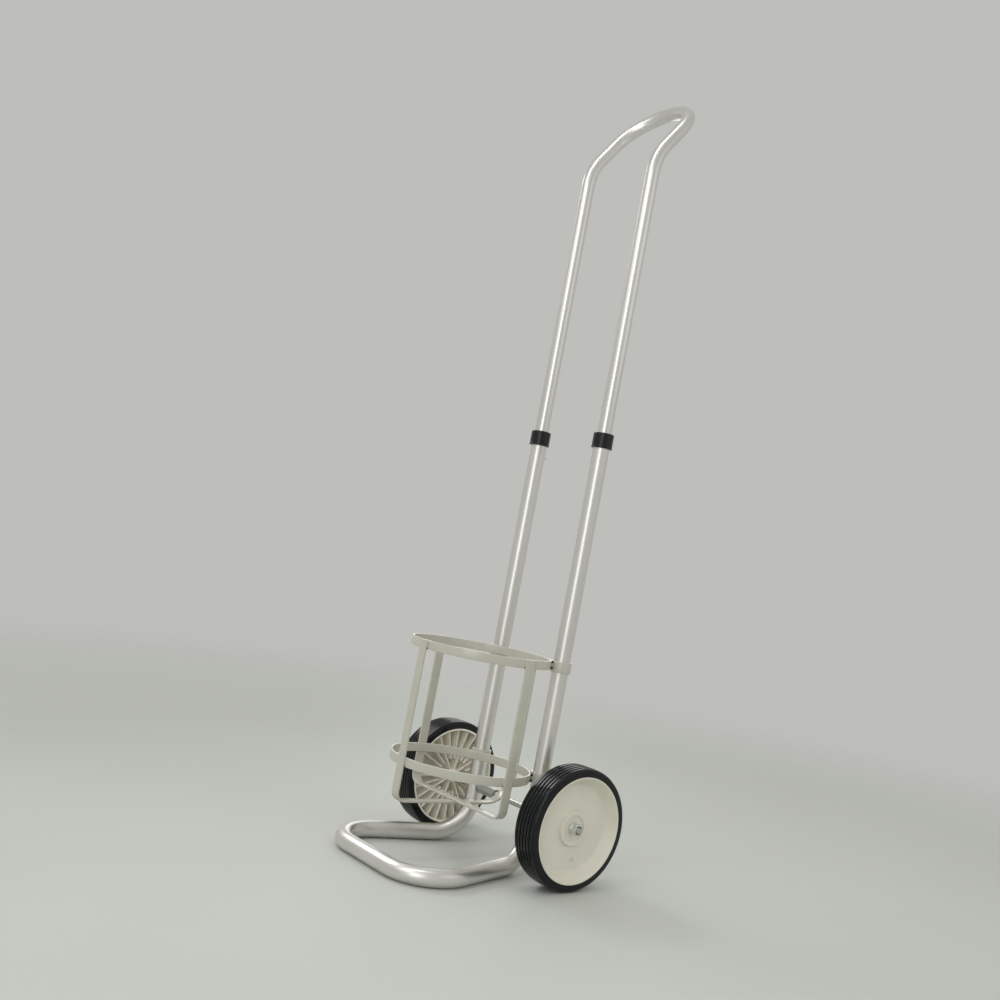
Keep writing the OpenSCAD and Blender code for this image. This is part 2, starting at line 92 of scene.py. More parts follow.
# Sizes of the basket and its clamps
RING_IN_R = 102
STRIP_T = 3
RING_W = 13
STRAP_W = 15
TOP_RING = 310
LOWER_RING = 142.505
STRAP_CORNER_R = 15
STRAP_REAR_R = 49.105
FRONT_STRAP_UNDER = 79
SIDE_STRAP_UNDER = 82
SIDE_STRAP_BACK = 5
CLAMP_T = 3
CLAMP_W = 16
NECK_HALF = 8
UPPER_CLAMP = 302
LOWER_CLAMP = 137.505
RIVET_R = 2
RIVET_HEAD_R = 4
RIVET_HEAD_H = 2
RING_R = RING_IN_R + STRIP_T
UPRIGHT_DISTANCE = RING_R + CLAMP_T + FRAME_R
BASKET_OFFSET = math.sqrt(UPRIGHT_DISTANCE ** 2 - HALF_SPACING ** 2)

# Sizes of the wheels; heights on a wheel are measured outwards from its middle plane
TYRE_R = 87.5
TYRE_W = 42
SHOULDER_R = 5
GROOVES = 5
RIM_R = 76
RIM_IN_R = 73
RIM_HALF = 21
LIP_W = 2
DISC_R = 62
WEB_BACK = 2
FACE = 5
BOSS_FACE = 9
BOSS_R = 25
RECESS_R = 18
RECESS_FACE = 7
INNER_BOSS_R = 10
INNER_BOSS_END = -23
RIB_COUNT = 24
LONG_RIB_EVERY = 3
SHORT_RIB_R = 27
RIB_EDGE = -18
WHEEL_X = 150

# Sizes of the axle and its fasteners
AXLE_R = 4.75
AXLE_HOLE_GAP = 0.4
BUSH_R = 6.88
WASHER_R = 9
WASHER_T = 1.6
SLEEVE_R = 7.5
NUT_FLATS = 14.5
NUT_H = 8
NUT_COLLAR_H = 2
END_WASHER_X = 157.3
LOCK_NUT_X = 158.9
AXLE_END_X = 170.9
INNER_WASHER_X = 57.85
INNER_NUT_X = 49.85
COUPLING_START_X = -49.05
COUPLING_LENGTH = 30

# Details that the scene adds, in millimetres; a turned outline starts and ends next to its axis
AXIS_R = 0.001
HOLE_CUT_START = 2
HOLE_CUT_END = 20
AXLE_CUT_HALF = 22
COLLAR_R = 15.6
COLLAR_LIP_R = 16
COLLAR_LIP_H = 2.4
FLANGE_OUT = 7.59
PIN_DOME_H = 2
STRIP_EDGE_R = 0.7
STRIP_END_R = 1.5
HOOP_EDGE_R = 0.8
RIVET_EDGE_H = 0.5
RIB_TOP = 3.2
RIB_END_R = 73.6
LONG_RIB_R = 9
MARK_R = 3.1
MARK_H = 1.5
CRIMP_BORE_R = 6.15
CRIMP_R = 6.9
INSERT_H = 1.3
THREAD_PITCH = 1.25
THREAD_DEPTH = 0.6

# Where the axle is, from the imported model
wheel_joint = next(joint for joint in frame["joints"] if joint["name"] == "right_wheel_spin")
AXLE_Y = wheel_joint["pos_m"][1] / MM
AXLE_Z = wheel_joint["pos_m"][2] / MM
BASE_Y = AXLE_Y - AXLE_Z * math.tan(LEAN)

# Places in millimetres: the right upright, the basket, its side strap, the axle, which points right,
# and the right wheel
RIGHT_UPRIGHT = Matrix.Translation((HALF_SPACING, BASE_Y, 0)) @ Matrix.Rotation(-LEAN, 4, "X")
BASKET = (
    Matrix.Translation((0, BASE_Y, 0))
    @ Matrix.Rotation(-LEAN, 4, "X")
    @ Matrix.Translation((0, -BASKET_OFFSET, 0))
)
SIDE_STRAP = BASKET @ Matrix.Translation((0, SIDE_STRAP_BACK, 0)) @ Matrix.Rotation(math.pi / 2, 4, "Z")
AXLE = Matrix.Translation((0, AXLE_Y, AXLE_Z)) @ Matrix.Rotation(math.pi / 2, 4, "Y")
RIGHT_WHEEL = AXLE @ Matrix.Translation((0, 0, WHEEL_X))
MIRROR = Matrix.Scale(-1, 4, (1, 0, 0))
SIDES = {"right": Matrix.Identity(4), "left": MIRROR}
Z_TO_Y = Matrix.Rotation(-math.pi / 2, 4, "X")


def on_upright(height, turn=0):
    """Place on the right upright's axis at a height along it, turned about that axis."""
    return RIGHT_UPRIGHT @ Matrix.Translation((0, 0, height)) @ Matrix.Rotation(turn, 4, "Z")


# Outlines and paths

def fillet(corners, steps=5):
    """Closed outline from (x, y, rounding) corners, each rounded by its radius."""
    outline = []
    count = len(corners)
    for i in range(count):
        here = Vector(corners[i][:2])
        radius = corners[i][2]
        if radius == 0:
            outline.append(tuple(here))
            continue
        before = (Vector(corners[i - 1][:2]) - here).normalized()
        after = (Vector(corners[(i + 1) % count][:2]) - here).normalized()
        half = before.angle(after) / 2
        reach = radius / math.tan(half)
        centre = here + (before + after).normalized() * radius / math.sin(half)
        start = here + before * reach - centre
        end = here + after * reach - centre
        turn = start.angle_signed(end)
        for step in range(steps + 1):
            outline.append(tuple(centre + Matrix.Rotation(-turn * step / steps, 2) @ start))
    return outline


def dome(radius, base, height, degrees):
    """Outline points of a dome above base, at angles up from its edge."""
    points = []
    for degree in degrees:
        angle = math.radians(degree)
        points.append((radius * math.cos(angle), base + height * math.sin(angle)))
    return points


def arc(centre, start, normal, turn, steps):
    """Points of an arc round centre that begins at start and turns about normal, without its first point."""
    spoke = start - centre
    points = []
    for step in range(1, steps + 1):
        points.append(centre + Matrix.Rotation(turn * step / steps, 3, normal) @ spoke)
    return points


def corner_path(corners, steps):
    """Path through (point, radius) corners, with an arc at each inner one."""
    path = [corners[0][0]]
    for i in range(1, len(corners) - 1):
        here, radius = corners[i]
        before = (corners[i - 1][0] - here).normalized()
        after = (corners[i + 1][0] - here).normalized()
        half = before.angle(after) / 2
        reach = radius / math.tan(half)
        centre = here + (before + after).normalized() * radius / math.sin(half)
        start = here + before * reach
        normal = before.cross(after).normalized()
        path.append(start)
        path.extend(arc(centre, start, normal, -(math.pi - 2 * half), steps))
    path.append(corners[-1][0])
    return path


def distances(path):
    """Distance of each point of a path from its start, along the path."""
    run = [0]
    for i in range(1, len(path)):
        run.append(run[-1] + (path[i] - path[i - 1]).length)
    return run


def directions(path):
    """Direction of a path at each of its points."""
    last = len(path) - 1
    found = []
    for i in range(last + 1):
        ahead = path[min(i + 1, last)]
        behind = path[max(i - 1, 0)]
        found.append((ahead - behind).normalized())
    return found


# Mesh building

def make_object(name, points, faces, uvs=None, sharp=32):
    """Object from points in millimetres, with smooth faces and sharp edges above an angle in degrees."""
    mesh = bpy.data.meshes.new(name)
    mesh.from_pydata([Vector(point) * MM for point in points], [], faces)
    if uvs is not None:
        layer = mesh.uv_layers.new(name="surface")
        for loop in mesh.loops:
            layer.data[loop.index].uv = uvs[loop.vertex_index]
    shape = bmesh.new()
    shape.from_mesh(mesh)
    bmesh.ops.recalc_face_normals(shape, faces=shape.faces)
    shape.to_mesh(mesh)
    shape.free()
    mesh.shade_smooth()
    mesh.set_sharp_from_angle(angle=math.radians(sharp))
    piece = bpy.data.objects.new(name, mesh)
    bpy.context.scene.collection.objects.link(piece)
    return piece


def turned_faces(segments, rows):
    """Faces over segments of rows points each, closed on themselves both ways."""
    faces = []
    for i in range(segments):
        here = i * rows
        there = (i + 1) % segments * rows
        for j in range(rows):
            k = (j + 1) % rows
            faces.append((here + j, there + j, there + k, here + k))
    return faces


def capped_faces(rows, ring):
    """Faces over rows of ring points each, with a cap at both ends."""
    faces = []
    for i in range(rows - 1):
        here = i * ring
        there = here + ring
        for k in range(ring):
            m = (k + 1) % ring
            faces.append((here + k, here + m, there + m, there + k))
    faces.append(tuple(range(ring)))
    faces.append(tuple(range((rows - 1) * ring, rows * ring)))
    return faces


def lathe(name, outline, place, segments=96, sharp=32):
    """Closed (radius, along) outline turned about the local z axis and put in place."""
    points = []
    uvs = []
    rows = len(outline)
    for i in range(segments):
        angle = 2 * math.pi * i / segments
        for j, (radius, along) in enumerate(outline):
            points.append(place @ Vector((radius * math.cos(angle), radius * math.sin(angle), along)))
            uvs.append((i / segments, j / rows))
    return make_object(name, points, turned_faces(segments, rows), uvs, sharp)


def tube(name, path, outer_r, inner_r, sides=64):
    """Tube with a wall along a path in the order of its points; the uv map runs along and round it."""
    along = distances(path)
    tangents = directions(path)
    side = tangents[0].orthogonal().normalized()
    points = []
    uvs = []
    for i, point in enumerate(path):
        side = (side - tangents[i] * side.dot(tangents[i])).normalized()
        up = tangents[i].cross(side)
        for radius in (outer_r, inner_r):
            for k in range(sides):
                angle = 2 * math.pi * k / sides
                points.append(point + (side * math.cos(angle) + up * math.sin(angle)) * radius)
                uvs.append((along[i] * MM, k / sides))
    ring = 2 * sides
    faces = []
    for i in range(len(path) - 1):
        here = i * ring
        there = here + ring
        for k in range(sides):
            m = (k + 1) % sides
            faces.append((here + k, here + m, there + m, there + k))
            faces.append((here + sides + k, there + sides + k, there + sides + m, here + sides + m))
    last = (len(path) - 1) * ring
    for k in range(sides):
        m = (k + 1) % sides
        faces.append((k, sides + k, sides + m, m))
        faces.append((last + k, last + m, last + sides + m, last + sides + k))
    return make_object(name, points, faces, uvs, sharp=40)


def strip(name, path, normals, place, width, thickness, edge_r=STRIP_EDGE_R):
    """Flat strip with softened edges and ends along a path in a plane; across is the local x axis."""
    run = distances(path)
    points = []
    uvs = []
    corner_steps = 4
    for i, point in enumerate(path):
        end = min(run[i], run[-1] - run[i])
        half = width / 2
        if end < STRIP_END_R:
            half += math.sqrt(STRIP_END_R ** 2 - (STRIP_END_R - end) ** 2) - STRIP_END_R
        for sign_x, sign_n, start in ((1, 1, 0), (-1, 1, 90), (-1, -1, 180), (1, -1, 270)):
            for step in range(corner_steps + 1):
                angle = math.radians(start + 90 * step / corner_steps)
                across = sign_x * (half - edge_r) + edge_r * math.cos(angle)
                out = sign_n * (thickness / 2 - edge_r) + edge_r * math.sin(angle)
                points.append(place @ (point + Vector((across, 0, 0)) + normals[i] * out))
                uvs.append((run[i] * MM, across * MM))
    faces = capped_faces(len(path), 4 * (corner_steps + 1))
    return make_object(name, points, faces, uvs, sharp=40)


def bead(name, start, end, out, place, width, height):
    """Weld bead with ripples from start to end, rising along out, in the frame of place."""
    station = 0.35
    fewest = 8
    sides = 12
    end_power = 6
    end_share = 0.02
    ripple_pitch = 1.4
    ripple_depth = 0.14
    wander_reach = 0.35
    along = end - start
    count = max(int(along.length / station), fewest)
    across = along.normalized().cross(out).normalized()
    points = []
    for i in range(count + 1):
        share = i / count
        swell = math.sqrt(max(1 - (2 * share - 1) ** end_power, end_share))
        wave = abs(math.sin(math.pi * along.length * share / ripple_pitch))
        ripple = 1 - ripple_depth + ripple_depth * wave
        wander = noise.noise(start * 0.3 + along * share * 0.4) * wander_reach
        for k in range(sides):
            angle = 2 * math.pi * k / sides
            offset = across * (math.cos(angle) * width / 2 * swell + wander)
            rise = out * (math.sin(angle) * height * swell * ripple)
            points.append(place @ (start + along * share + offset + rise))
    return make_object(name, points, capped_faces(count + 1, sides), sharp=60)


def join(name, pieces):
    """One object with a name of its own from several."""
    bpy.ops.object.select_all(action="DESELECT")
    for piece in pieces:
        piece.select_set(True)
    bpy.context.view_layer.objects.active = pieces[0]
    bpy.ops.object.join()
    pieces[0].name = name
    pieces[0].data.name = name
    return pieces[0]


def mirrored(piece, name):
    """Copy of a piece on the other side of the trolley's middle."""
    copy = bpy.data.objects.new(name, piece.data.copy())
    copy.data.name = name
    copy.data.transform(MIRROR)
    copy.data.flip_normals()
    bpy.context.scene.collection.objects.link(copy)
    return copy


def cut(piece, cutters):
    """Takes the cutters' shapes out of a piece and deletes them."""
    cutter = join("cutter", cutters)
    modifier = piece.modifiers.new("holes", "BOOLEAN")
    modifier.operation = "DIFFERENCE"
    modifier.object = cutter
    modifier.solver = "EXACT"
    graph = bpy.context.evaluated_depsgraph_get()
    mesh = bpy.data.meshes.new_from_object(piece.evaluated_get(graph))
    piece.modifiers.clear()
    piece.data = mesh
    piece.data.name = piece.name
    piece.data.set_sharp_from_angle(angle=math.radians(40))
    bpy.data.objects.remove(cutter)


def plug(radius, start, end, place):
    """Solid cylinder along the local z axis, used as a cutter."""
    outline = [(AXIS_R, start), (radius, start), (radius, end), (AXIS_R, end)]
    return lathe("plug", outline, place, segments=40)


# Materials

def new_material(name):
    """New node material and its Principled shader."""
    material = bpy.data.materials.new(name)
    material.use_nodes = True
    shader = material.node_tree.nodes["Principled BSDF"]
    return material, shader


def add_node(material, kind, **settings):
    """New node with its inputs set by name."""
    node = material.node_tree.nodes.new(kind)
    for key, value in settings.items():
        node.inputs[key.replace("_", " ")].default_value = value
    return node


def link(material, source, target):
    """Joins an output to an input."""
    material.node_tree.links.new(source, target)


def grain(material, scale, detail, stretch=(1, 1, 1), roughness=0.6, kind="Object"):
    """Noise over one kind of texture coordinate, stretched by three factors."""
    place = add_node(material, "ShaderNodeTexCoord")
    mapping = add_node(material, "ShaderNodeMapping", Scale=stretch)
    texture = add_node(material, "ShaderNodeTexNoise", Scale=scale, Detail=detail, Roughness=roughness)
    link(material, place.outputs[kind], mapping.inputs["Vector"])
    link(material, mapping.outputs["Vector"], texture.inputs["Vector"])
    return texture.outputs["Fac"]


def ramp(material, value, low, high, start=0.3, end=0.7):
    """Maps a value between start and end to a number or a colour between low and high."""
    node = material.node_tree.nodes.new("ShaderNodeValToRGB")
    for element, position, level in zip(node.color_ramp.elements, (start, end), (low, high)):
        element.position = position
        element.color = level if isinstance(level, tuple) else (level, level, level, 1)
    link(material, value, node.inputs["Fac"])
    return node.outputs["Color"]


def vary(material, shader, socket, value, low, high, start=0.3, end=0.7):
    """Lets a value between start and end take a shader's socket from low to high."""
    link(material, ramp(material, value, low, high, start, end), shader.inputs[socket])


def mix_colours(material, share, first, second):
    """A varying first colour with a share of a plain second one."""
    node = add_node(material, "ShaderNodeMix")
    node.data_type = "RGBA"
    node.inputs["B"].default_value = second
    link(material, share, node.inputs["Factor"])
    link(material, first, node.inputs["A"])
    return node.outputs["Result"]


def bump(material, shader, height, strength, distance):
    """Surface relief from a height; the distance is in metres at full strength."""
    node = add_node(material, "ShaderNodeBump", Strength=strength, Distance=distance)
    link(material, height, node.inputs["Height"])
    link(material, node.outputs["Normal"], shader.inputs["Normal"])


def srgb(red, green, blue):
    """Linear colour from 8-bit display values."""
    def linear(value):
        share = value / 255
        return share / 12.92 if share <= 0.04045 else ((share + 0.055) / 1.055) ** 2.4
    return (linear(red), linear(green), linear(blue), 1)


def aluminium_material(name, rough):
    """Anodised aluminium: drawing lines along the tube over a fine etched grain."""
    material, shader = new_material(name)
    shader.inputs["Metallic"].default_value = 1
    lines = grain(material, scale=60, detail=4, stretch=(0.05, 14, 1), kind="UV")
    etch = grain(material, scale=2600, detail=2)
    cloud = grain(material, scale=9, detail=3, stretch=(1, 1, 0.4))
    vary(material, shader, "Base Color", cloud, srgb(224, 222, 218), srgb(234, 232, 229))
    vary(material, shader, "Roughness", lines, rough, rough + 0.08)
    relief = add_node(material, "ShaderNodeMath")
    relief.operation = "MULTIPLY_ADD"
    relief.inputs[1].default_value = 0.6
    link(material, lines, relief.inputs[0])
    link(material, etch, relief.inputs[2])
    bump(material, shader, relief.outputs["Value"], strength=0.05, distance=0.00005)
    return material


def paint_material(name):
    """Powder coat: slight orange peel, a little dust and duller patches."""
    material, shader = new_material(name)
    peel = grain(material, scale=420, detail=2, roughness=0.5)
    speck = grain(material, scale=1500, detail=2)
    cloud = grain(material, scale=30, detail=4)
    tint = ramp(material, cloud, srgb(175, 173, 161), srgb(181, 180, 168))
    dust = ramp(material, speck, 0, 0.3, start=0.66, end=0.78)
    link(material, mix_colours(material, dust, tint, srgb(164, 162, 149)), shader.inputs["Base Color"])
    vary(material, shader, "Roughness", cloud, 0.13, 0.2)
    shader.inputs["Specular IOR Level"].default_value = 0.7
    bump(material, shader, peel, strength=0.12, distance=0.00012)
    return material


def hub_material(name):
    """Moulded beige plastic: faint flow marks, a fine matt texture, and painted light: a paler colour on the
    inner side.
    """
    material, shader = new_material(name)
    flow = grain(material, scale=22, detail=5)
    fine = grain(material, scale=1300, detail=2)
    tint = ramp(material, flow, srgb(207, 204, 189), srgb(214, 211, 197))
    # The inner side of the web and ribs takes a paler colour: painted light where more light falls on it
    inside_web = 1
    painted_light_limit = (WHEEL_X + WEB_BACK + inside_web) * MM
    blur = 0.5 * MM
    place = add_node(material, "ShaderNodeTexCoord")
    axes = add_node(material, "ShaderNodeSeparateXYZ")
    outward = add_node(material, "ShaderNodeMath")
    outward.operation = "ABSOLUTE"
    inner = add_node(material, "ShaderNodeMapRange", From_Min=painted_light_limit + blur, From_Max=painted_light_limit - blur)
    link(material, place.outputs["Object"], axes.inputs["Vector"])
    link(material, axes.outputs["X"], outward.inputs[0])
    link(material, outward.outputs["Value"], inner.inputs["Value"])
    # Painted light: the paler colour on the inner side stands in for light, the plastic itself is the same
    tone = mix_colours(material, inner.outputs["Result"], tint, srgb(232, 228, 215))
    link(material, tone, shader.inputs["Base Color"])
    vary(material, shader, "Roughness", flow, 0.3, 0.4)
    shader.inputs["Subsurface Weight"].default_value = 0.04
    shader.inputs["Subsurface Radius"].default_value = (0.004, 0.003, 0.002)
    bump(material, shader, fine, strength=0.15, distance=0.00006)
    return material


def rubber_material(name):
    """Black tyre rubber with dust in its pores and a worn sheen."""
    material, shader = new_material(name)
    dust = grain(material, scale=55, detail=6)
    pores = grain(material, scale=1900, detail=3)
    vary(material, shader, "Base Color", dust, srgb(4, 9, 10), srgb(16, 20, 21), start=0.45, end=0.9)
    vary(material, shader, "Roughness", dust, 0.08, 0.16)
    shader.inputs["Specular IOR Level"].default_value = 0.34
    bump(material, shader, pores, strength=0.15, distance=0.00006)
    return material


def black_plastic_material(name):
    """Black plastic with a fine spark-eroded texture."""
    material, shader = new_material(name)
    fine = grain(material, scale=2400, detail=3)
    cloud = grain(material, scale=120, detail=3)
    vary(material, shader, "Base Color", cloud, srgb(9, 9, 14), srgb(15, 15, 21))
    vary(material, shader, "Roughness", fine, 0.2, 0.3)
    shader.inputs["Specular IOR Level"].default_value = 0.4
    bump(material, shader, fine, strength=0.3, distance=0.0001)
    return material


def steel_material(name, dark, bright, rough):
    """Steel, plated or bare, with a cloudy tone and fine machining marks."""
    material, shader = new_material(name)
    shader.inputs["Metallic"].default_value = 1
    cloud = grain(material, scale=140, detail=3)
    marks = grain(material, scale=1800, detail=3, stretch=(0.15, 1, 1))
    vary(material, shader, "Base Color", cloud, dark, bright)
    vary(material, shader, "Roughness", cloud, rough, rough + 0.08)
    bump(material, shader, marks, strength=0.15, distance=0.00005)
    return material


def nylon_material(name, dark, bright):
    """Nylon with a slightly cloudy tone."""
    material, shader = new_material(name)
    cloud = grain(material, scale=500, detail=3)
    vary(material, shader, "Base Color", cloud, dark, bright)
    vary(material, shader, "Roughness", cloud, 0.35, 0.5)
    bump(material, shader, cloud, strength=0.1, distance=0.00005)
    return material


satin_aluminium = aluminium_material("satin_aluminium", rough=0.32)
bright_aluminium = aluminium_material("bright_aluminium", rough=0.28)
paint = paint_material("beige_powder_coat")
hub_plastic = hub_material("beige_moulded_plastic")
rubber = rubber_material("tyre_rubber")
black_plastic = black_plastic_material("black_plastic")
zinc = steel_material("zinc_plate", srgb(222, 225, 222), srgb(233, 235, 232), rough=0.14)
rod_steel = steel_material("rod_steel", srgb(182, 185, 178), srgb(196, 199, 192), rough=0.34)
spring_steel = steel_material("spring_steel", srgb(120, 124, 130), srgb(150, 153, 158), rough=0.3)
insert_nylon = nylon_material("insert_nylon", srgb(58, 70, 76), srgb(76, 90, 96))
bush_nylon = nylon_material("bush_nylon", srgb(226, 224, 216), srgb(236, 234, 227))
# Near-black steel for small dark spots that paint the shade in the gaps beside the welds
painted_shade_spots = steel_material("painted_shade_spots", srgb(40, 36, 32), srgb(66, 60, 54), rough=0.5)


def finish_piece(piece, material, body, slot, *nodes):
    """Gives a piece its material and its body, and hides the nodes that it stands for; slot is not used."""
    piece.data.materials.clear()
    piece.data.materials.append(material)
    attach(piece, body)
    if nodes:
        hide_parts(*nodes)


def other_side(name):
    """Name of the left-hand piece, body or node that matches a right-hand one."""
    return name.replace("right", "left")


def finish_pair(right, material, body, slot, *nodes):
    """Finishes a right-hand piece, and its mirror image, which it returns."""
    left = mirrored(right, other_side(right.name))
    finish_piece(right, material, body, slot, *nodes)
    finish_piece(left, material, other_side(body), slot, *[other_side(node) for node in nodes])
    return left


# Tubes

def button_holes(radius, heights):
    """Cutters for holes in both legs of a tube, where the buttons point."""
    cutters = []
    for side in SIDES.values():
        for height in heights:
            place = side @ on_upright(height, BUTTON_TURN) @ Z_TO_Y
            cutters.append(plug(radius, HOLE_CUT_START, HOLE_CUT_END, place))
    return cutters


def symmetric_tube(name, right, outer_r, inner_r, steps):
    """Tube along the right half's (point, radius) corners and then along their mirror images."""
    left = [(MIRROR @ point, radius) for point, radius in reversed(right)]
    return tube(name, corner_path(right + left, steps), outer_r, inner_r)


def frame_tube():
    """The frame's tube with its adjusting holes and its axle holes."""
    front_y = AXLE_Y - FOOT_REACH
    foot_y = BASE_Y + FRAME_R * math.tan(LEAN)
    front_x = HALF_SPACING + (foot_y - front_y) * math.tan(FOOT_SPLAY)
    right = [
        (RIGHT_UPRIGHT @ Vector((0, 0, UPRIGHT_LENGTH)), 0),
        (Vector((HALF_SPACING, foot_y, FRAME_R)), FOOT_BEND_R),
        (Vector((front_x, front_y, FRAME_R)), FOOT_CORNER_R),
    ]
    piece = symmetric_tube("frame_tube", right, FRAME_R, FRAME_BORE_R, steps=28)
    cutters = button_holes(FRAME_HOLE_R, [BUTTON_HEIGHT - i * HOLE_PITCH for i in range(HOLE_COUNT)])
    start = HALF_SPACING - AXLE_CUT_HALF
    end = HALF_SPACING + AXLE_CUT_HALF
    for side in SIDES.values():
        cutters.append(plug(AXLE_R + AXLE_HOLE_GAP, start, end, side @ AXLE))
    cut(piece, cutters)
    finish_piece(piece, satin_aluminium, "frame", "anodised_aluminium", "base_frame")


def handle_tube():
    """The handle's tube, bent back into its loop, with the holes of its buttons."""
    bend_reach = HANDLE_BEND_R * math.tan(HANDLE_BEND / 2)
    bend = Vector((0, 0, HANDLE_BEND_START + bend_reach))
    back = Vector((0, math.sin(HANDLE_BEND), math.cos(HANDLE_BEND)))
    grip = bend + back * (bend_reach + HANDLE_RISE + LOOP_R)
    corners = [(Vector((0, 0, LEG_END)), 0), (bend, HANDLE_BEND_R), (grip, LOOP_R)]
    right = [(RIGHT_UPRIGHT @ point, radius) for point, radius in corners]
    piece = symmetric_tube("handle_loop", right, HANDLE_R, HANDLE_BORE_R, steps=30)
    cut(piece, button_holes(HANDLE_HOLE_R, [BUTTON_HEIGHT]))
    finish_piece(piece, bright_aluminium, "handle", "anodised_aluminium", "handle_tube")


frame_tube()
handle_tube()


# Collars and buttons

def collars():
    """Black collars with rounded edges and a lip at the lower edge."""
    seat_r = FRAME_R + SEAT_GAP
    guide_r = HANDLE_R + COLLAR_GAP
    top = UPRIGHT_LENGTH + COLLAR_OVER
    low = top - COLLAR_H
    shelf = UPRIGHT_LENGTH + SEAT_GAP
    outline = fillet([
        (seat_r, low, 0.3),
        (COLLAR_LIP_R, low, 0.9),
        (COLLAR_LIP_R, low + COLLAR_LIP_H, 0.3),
        (COLLAR_R, low + COLLAR_LIP_H + 0.6, 0.3),
        (COLLAR_R, top, 1.6),
        (guide_r, top, 0.5),
        (guide_r, shelf, 0),
        (seat_r, shelf, 0),
    ])
    right = lathe("collar_sleeve_right", outline, RIGHT_UPRIGHT)
    finish_pair(right, black_plastic, "frame", "black_plastic", "collar_right")


def buttons():
    """Spring buttons with domed tips."""
    outline = [(AXIS_R, FLANGE_IN), (FLANGE_R, FLANGE_IN), (FLANGE_R, FLANGE_OUT), (PIN_R, FLANGE_OUT)]
    outline += dome(PIN_R, PIN_TIP - PIN_DOME_H, PIN_DOME_H, range(0, 90, 8))
    outline.append((AXIS_R, PIN_TIP))
    place = on_upright(BUTTON_HEIGHT, BUTTON_TURN) @ Z_TO_Y
    right = lathe("button_pin_right", outline, place, segments=48, sharp=40)
    finish_pair(right, zinc, "right_button", "zinc", "snap_button_right")


def snap_springs():
    """Folded strip springs behind the buttons."""
    wall = math.sqrt(HANDLE_BORE_R ** 2 - (SPRING_W / 2) ** 2) - 2 * SEAT_GAP
    back = SPRING_T / 2 - wall
    front = FLANGE_IN - SEAT_GAP - SPRING_T / 2
    fold = SPRING_HALF + 1.9
    fold_r = 1
    bend_r = 2
    path = corner_path([
        (Vector((0, back, -SPRING_HALF)), 0),
        (Vector((0, back, fold)), fold_r),
        (Vector((0, front, FLANGE_R)), bend_r),
        (Vector((0, front, -FLANGE_R)), 0),
    ], steps=10)
    normals = [direction.cross(Vector((1, 0, 0))) for direction in directions(path)]
    place = on_upright(BUTTON_HEIGHT, BUTTON_TURN)
    right = strip("spring_strip_right", path, normals, place, SPRING_W, SPRING_T, edge_r=0.25)
    left = finish_pair(right, spring_steel, "handle", "spring_steel", "snap_spring_right")
    for piece, side in ((right, "right"), (left, "left")):
        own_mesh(piece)


collars()
buttons()
snap_springs()


# Basket

def hoops():
    """The two hoops with softened edges."""
    for name, node, upper in (("hoop_top", "top_ring", TOP_RING), ("hoop_low", "lower_ring", LOWER_RING)):
        lower = upper - RING_W
        corners = ((RING_IN_R, lower), (RING_R, lower), (RING_R, upper), (RING_IN_R, upper))
        outline = fillet([(radius, height, HOOP_EDGE_R) for radius, height in corners])
        piece = lathe(name, outline, BASKET, segments=160)
        finish_piece(piece, paint, "frame", "beige_paint", node)


def strap(name, node, under, rear_r, place):
    """U-shaped strap, drawn along its middle line from its front end to its rear end."""
    half = STRIP_T / 2
    middle = RING_R + SEAT_GAP + half
    low = under + half
    end_steps = [STRIP_END_R * (1 - math.cos(math.radians(degree))) for degree in range(0, 91, 15)]
    path = [Vector((0, -middle, TOP_RING - step)) for step in end_steps]
    normals = [Vector((0, -1, 0))] * len(end_steps)
    front_arc = STRAP_CORNER_R - half
    rear_arc = rear_r - half
    arcs = ((180, front_arc, front_arc - middle), (270, rear_arc, middle - rear_arc))
    arc_steps = 18
    for start, radius, centre_y in arcs:
        for step in range(arc_steps + 1):
            angle = math.radians(start + 90 * step / arc_steps)
            out = Vector((0, math.cos(angle), math.sin(angle)))
            path.append(Vector((0, centre_y, low + radius)) + out * radius)
            normals.append(out)
    path += [Vector((0, middle, TOP_RING - step)) for step in reversed(end_steps)]
    normals += [Vector((0, 1, 0))] * len(end_steps)
    piece = strip(name, path, normals, place, STRAP_W, STRIP_T)
    finish_piece(piece, paint, "frame", "beige_paint", node)


def strap_welds(place, shift):
    """Weld beads along the edges of a strap's legs, and dark spots of painted shade below; shift is the
    strap's offset.
    """
    bead_start = Vector((0, 0, 2.6))
    bead_end = Vector((0, 0, RING_W + 0.1))
    shade_spot_end = Vector((0, 0, 1.8))
    beside = STRAP_W / 2 + 0.2
    beads = []
    points = []
    for leg in (-1, 1):
        for side in (-1, 1):
            edge = side * beside
            on_hoop = leg * math.sqrt(RING_R ** 2 - (edge + shift) ** 2)
            out = Vector((side, leg, 0)).normalized()
            for upper in (TOP_RING, LOWER_RING):
                foot = Vector((edge, on_hoop, upper - RING_W))
                low = foot + bead_start
                high = foot + bead_end
                beads.append(bead("bead", low, high, out, place, width=2.4, height=1.3))
                # A dark spot of painted shade at the hoop's lower edge beside the strap
                points.append(bead("point", foot, foot + shade_spot_end, out, place, width=2, height=0.9))
    return beads, points


